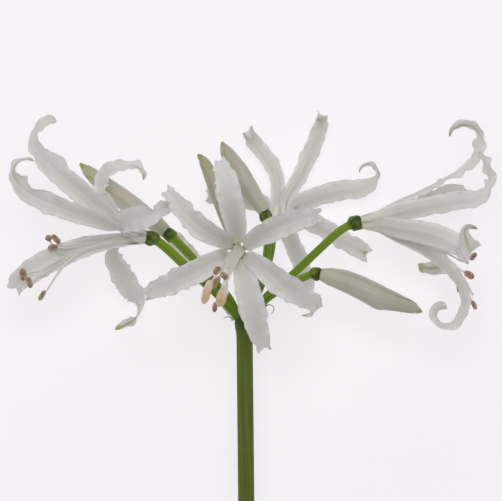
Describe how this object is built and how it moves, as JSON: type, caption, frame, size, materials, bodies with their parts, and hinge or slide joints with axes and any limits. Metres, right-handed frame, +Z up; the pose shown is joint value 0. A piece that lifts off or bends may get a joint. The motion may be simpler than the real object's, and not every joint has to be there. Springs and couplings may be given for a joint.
{
  "type": "cut flower stem",
  "caption": "Cut nerine stem lying on its back: a long bare stalk ending in a round head of white open blooms with curled petals, long stamens and slim buds.",
  "frame": {"origin": "the middle of the flower's outline seen from above, on the surface it lies on", "axes": "+X across the head, to the right as seen from above with the head away from you; +Y along the stem towards the head; +Z up from the surface"},
  "size_m": [0.1786, 0.4014, 0.1129],
  "materials": {
    "stem_green": "waxy dark olive green with faint lengthwise ribs",
    "stalk_green": "waxy fresh green, darker on the seed pod",
    "petal_white": "soft satin white, green-tinged at the throat and tips",
    "bud_cream": "satin cream, olive-tinged, yellow-green at the point",
    "dry_skin": "dry papery skin"
  },
  "bodies": {
    "root": {"stem": "stem_green", "stalk_front": "stalk_green", "stalk_left": "stalk_green", "stalk_right": "stalk_green", "stalk_back": "stalk_green", "stalk_left_bud": "stalk_green", "stalk_slim_bud": "stalk_green", "stalk_top_bud": "stalk_green", "stalk_right_bud": "stalk_green", "bloom_front": "petal_white", "bloom_left": "petal_white", "bloom_right": "petal_white", "bloom_back": "petal_white", "left_bud": "bud_cream", "slim_bud": "bud_cream", "top_bud": "bud_cream", "right_bud": "bud_cream", "dry_sheath": "dry_skin", "dry_thread_left": "dry_skin", "dry_thread_right": "dry_skin"}
  },
  "joints": []
}
